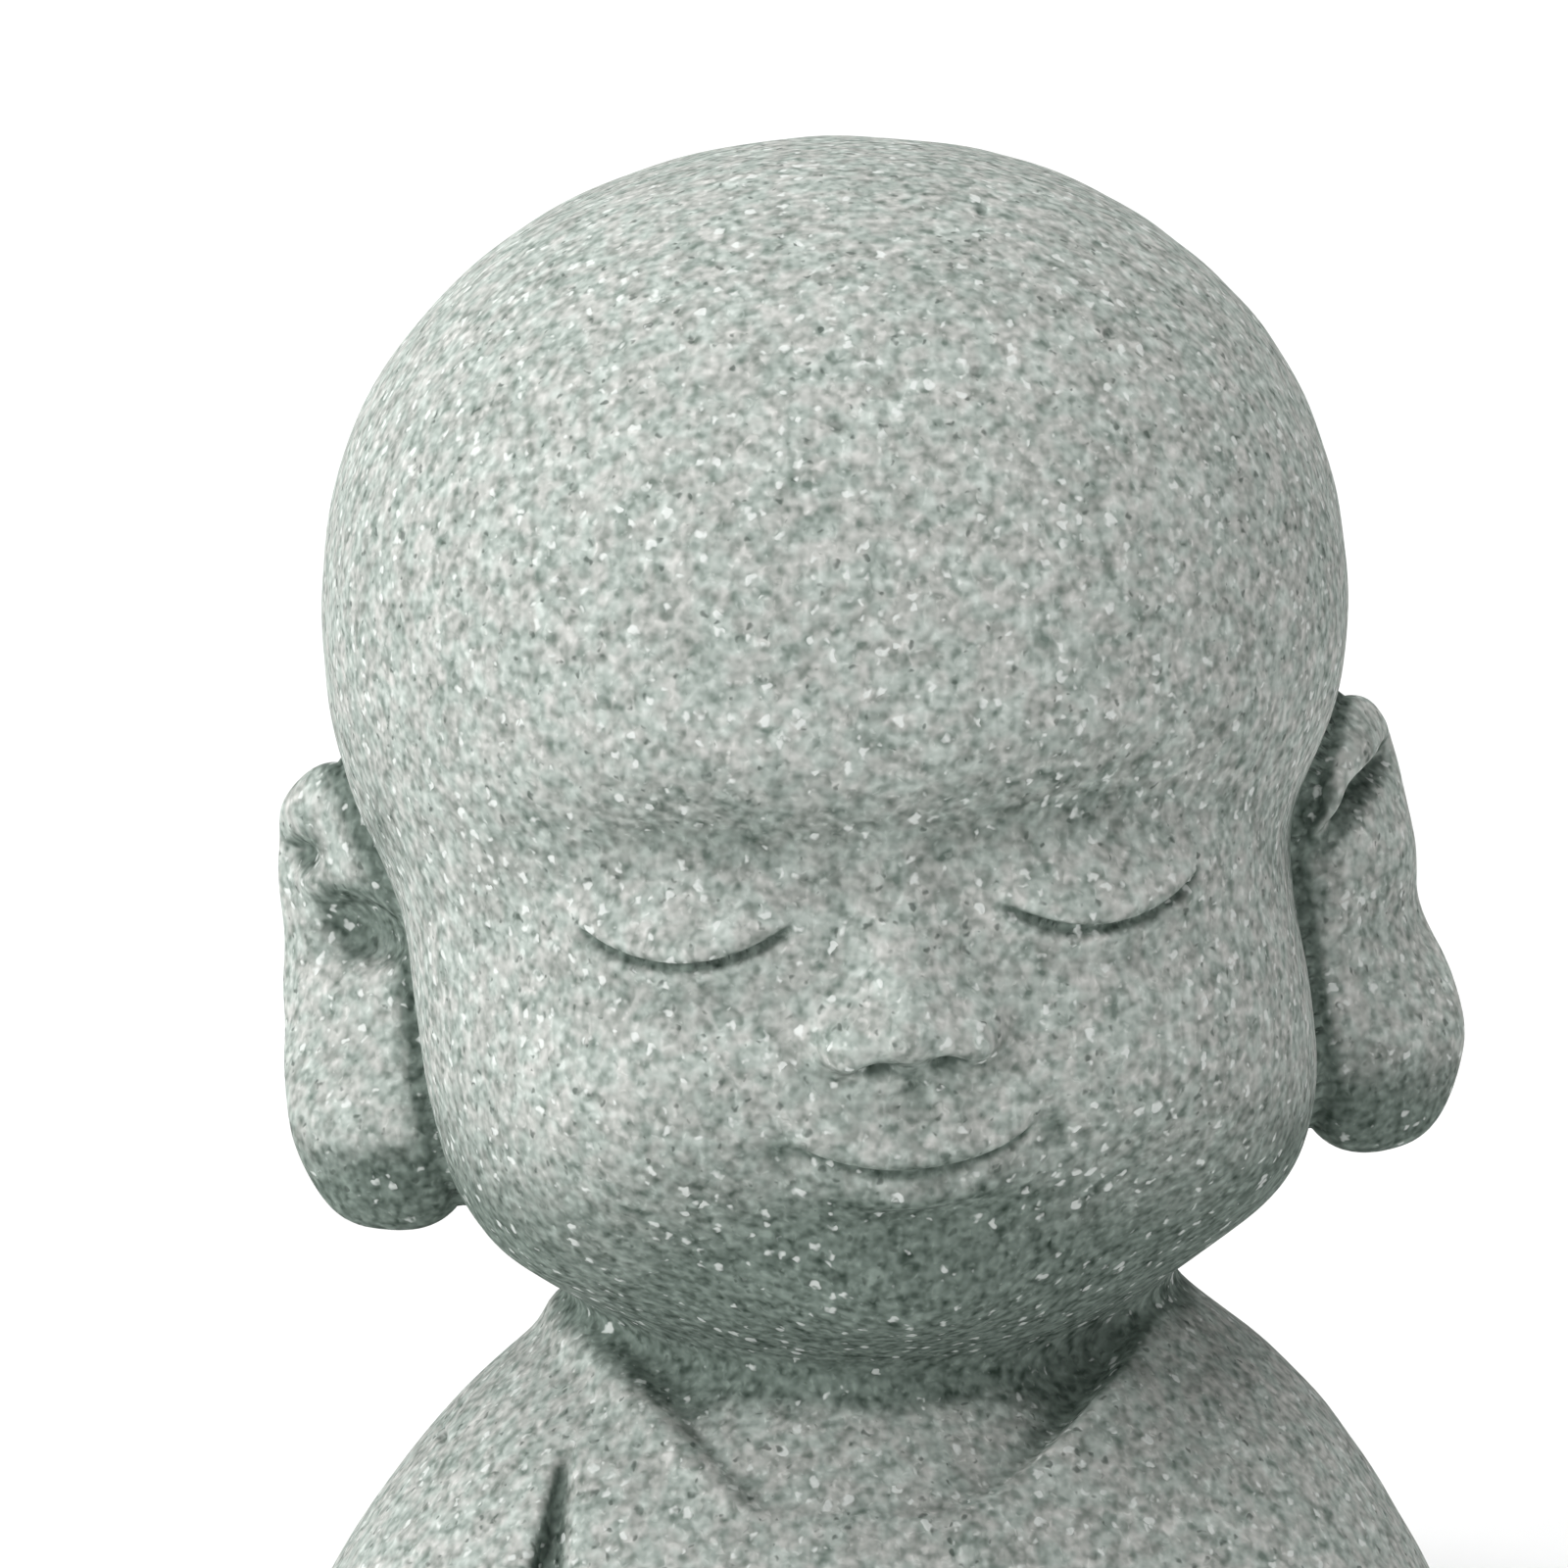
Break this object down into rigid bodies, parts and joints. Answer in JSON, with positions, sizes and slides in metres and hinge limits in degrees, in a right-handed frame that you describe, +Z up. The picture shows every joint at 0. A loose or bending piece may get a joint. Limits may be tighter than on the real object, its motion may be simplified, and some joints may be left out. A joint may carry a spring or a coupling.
{
  "type": "child monk bust statue",
  "caption": "Small solid cast bust of a bald child monk with long ear lobes, head bowed to one side, in a crossed robe, cut flat below the shoulders.",
  "frame": {"origin": "middle of the robe's oval on the flat underside", "axes": "+Z up, -Y the way the figure faces, +X the viewer's right"},
  "size_m": [0.0732, 0.0653, 0.0935],
  "materials": {
    "stone_resin": "matt grey-green resin full of light and dark sand grains"
  },
  "bodies": {
    "root": {"bust": "stone_resin"}
  },
  "joints": []
}
